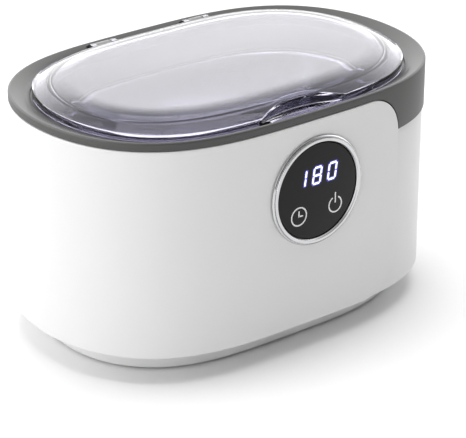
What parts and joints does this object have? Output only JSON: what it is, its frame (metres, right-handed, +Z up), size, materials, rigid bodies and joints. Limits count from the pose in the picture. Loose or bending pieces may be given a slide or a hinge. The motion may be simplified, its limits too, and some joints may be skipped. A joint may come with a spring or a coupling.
{
  "type": "ultrasonic cleaner",
  "caption": "Oval benchtop ultrasonic cleaner for jewellery with a hinged see-through lid, a steel tank, a wrap-round white panel and a round touch display.",
  "frame": {"origin": "on the standing surface, under the middle of the object's box", "axes": "+X towards the end that the outer panel leaves bare (the right, seen from the front), +Y towards the hinges and power inlet, +Z up"},
  "size_m": [0.2047, 0.1384, 0.1229],
  "materials": {
    "white_plastic": "moulded ABS, smooth satin gloss",
    "grey_plastic": "moulded ABS, fine satin grain",
    "pale_grey_plastic": "moulded ABS, satin",
    "smoke_plastic": "clear moulded plastic with a faint violet-grey smoke tint, polished",
    "steel_sheet": "drawn stainless sheet, fine brushed",
    "silicone": "soft translucent silicone",
    "aluminium": "turned, satin",
    "piezo_ceramic": "sintered piezo ceramic, matte tan with silvered faces",
    "electrode_brass": "stamped sheet",
    "machined_steel": "turned steel",
    "fastener_steel": "plated steel",
    "bezel_chrome": "bright satin plating",
    "black_glass": "polished black acrylic window",
    "black_plastic": "moulded, fine grain",
    "circuit_board": "glass-epoxy board with green solder mask",
    "ferrite": "pressed ferrite, matte",
    "copper_winding": "enamelled copper winding",
    "capacitor_sleeve": "shrink sleeve",
    "film_capacitor": "moulded yellow case",
    "fuse_ceramic": "glazed ceramic fuse body",
    "connector_white": "moulded nylon",
    "lead_red": "insulated wire",
    "lead_grey": "insulated wire",
    "lead_black": "insulated wire",
    "rubber": "moulded rubber"
  },
  "bodies": {
    "housing": {"base_plate": "pale_grey_plastic", "lower_housing": "white_plastic", "wrap_panel": "white_plastic", "upper_housing": "grey_plastic", "tank": "steel_sheet", "tank_gasket": "silicone", "transducer_front_mass": "aluminium", "piezo_ring_upper": "piezo_ceramic", "electrode_upper": "electrode_brass", "piezo_ring_lower": "piezo_ceramic", "electrode_lower": "electrode_brass", "transducer_back_mass": "machined_steel", "transducer_bolt": "fastener_steel", "bezel_ring": "bezel_chrome", "display_glass": "black_glass", "display_frame": "black_plastic", "led_display": "black_plastic", "touch_board": "circuit_board", "power_inlet": "black_plastic", "driver_board": "circuit_board", "transformer_core": "ferrite", "transformer_winding": "copper_winding", "heat_sink": "aluminium", "power_transistor": "black_plastic", "tuning_inductor": "copper_winding", "bulk_capacitor": "capacitor_sleeve", "film_capacitor_1": "film_capacitor", "film_capacitor_2": "film_capacitor", "bridge_rectifier": "black_plastic", "fuse": "fuse_ceramic", "mains_header": "connector_white", "display_header": "connector_white", "transducer_lead_upper": "lead_red", "transducer_lead_lower": "lead_grey", "mains_lead_left": "lead_grey", "mains_lead_right": "lead_black", "ribbon_cable": "lead_grey", "foot_front_left": "rubber", "base_screw_front_left": "fastener_steel", "housing_screw_front_left": "fastener_steel", "foot_front_right": "rubber", "base_screw_front_right": "fastener_steel", "housing_screw_front_right": "fastener_steel", "foot_rear_left": "rubber", "base_screw_rear_left": "fastener_steel", "housing_screw_rear_left": "fastener_steel", "foot_rear_right": "rubber", "base_screw_rear_right": "fastener_steel", "housing_screw_rear_right": "fastener_steel", "hinge_lug_left": "pale_grey_plastic", "hinge_pin_left": "fastener_steel", "touch_spring_left": "fastener_steel", "inlet_pin_left": "fastener_steel", "hinge_lug_right": "pale_grey_plastic", "hinge_pin_right": "fastener_steel", "touch_spring_right": "fastener_steel", "inlet_pin_right": "fastener_steel"},
    "lid": {"lid": "smoke_plastic"}
  },
  "joints": [
    {"name": "lid_hinge", "type": "hinge", "parent": "housing", "child": "lid", "pos_m": [0, 0.0613, 0.1147], "axis": [-1, 0, 0], "range_deg": [0, 105]}
  ]
}
